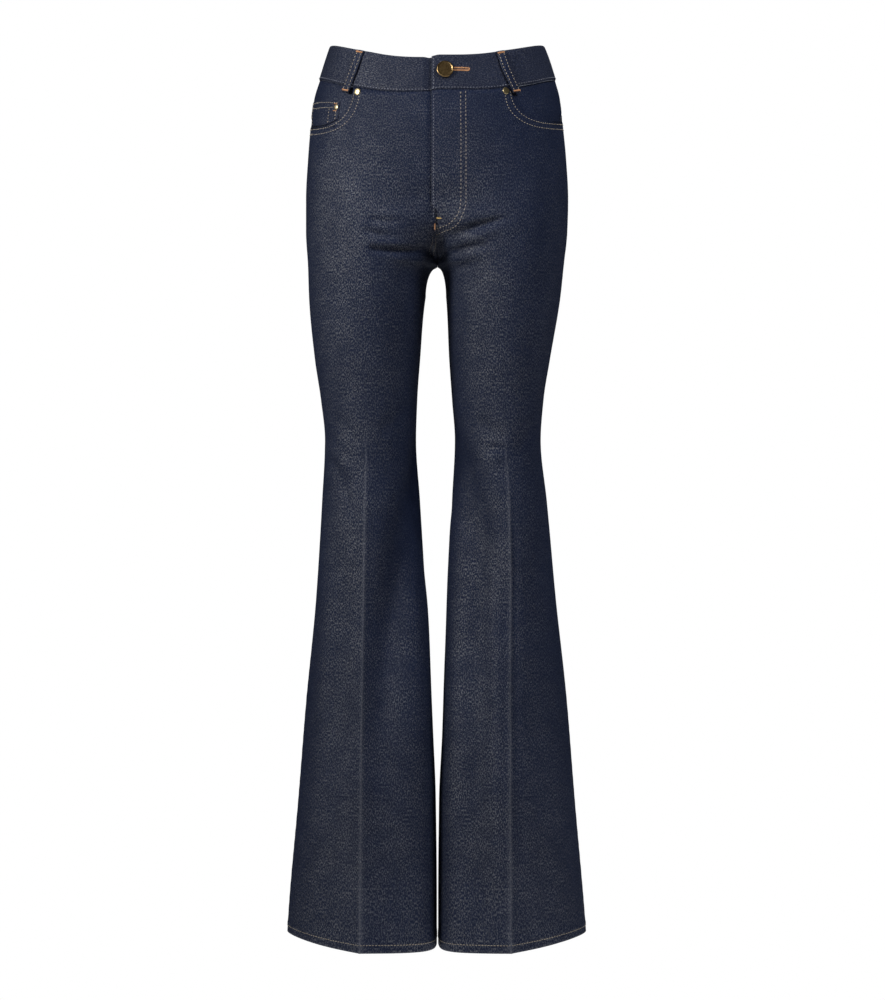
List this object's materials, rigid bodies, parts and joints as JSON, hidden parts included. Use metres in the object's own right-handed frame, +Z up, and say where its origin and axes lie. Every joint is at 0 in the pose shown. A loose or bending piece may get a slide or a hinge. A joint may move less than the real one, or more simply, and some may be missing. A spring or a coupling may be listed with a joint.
{
  "type": "flared jeans",
  "caption": "High-waisted flared jeans in dark denim, kept in their worn shape, open at the waist and hems.",
  "frame": {"origin": "middle of the waist, near half the waistband's height at the sides, where the jeans are held", "axes": "+Z up towards the waist, -Y towards the front, +X towards the wearer's left"},
  "size_m": [0.3712, 0.2356, 1.1105],
  "materials": {
    "denim": "dark indigo twill",
    "brass": "aged brass, satin"
  },
  "bodies": {
    "root": {"front_right": "denim", "front_left": "denim", "back_right": "denim", "back_left": "denim", "yoke_right": "denim", "yoke_left": "denim", "pocket_facing_right": "denim", "pocket_facing_left": "denim", "back_pocket_right": "denim", "back_pocket_left": "denim", "belt_loop_front_right": "denim", "belt_loop_front_left": "denim", "belt_loop_side_right": "denim", "belt_loop_side_left": "denim", "belt_loop_back": "denim", "waistband": "denim", "coin_pocket": "denim", "button": "brass", "rivet_right": "brass", "rivet_left": "brass", "coin_rivet": "brass"}
  },
  "joints": []
}
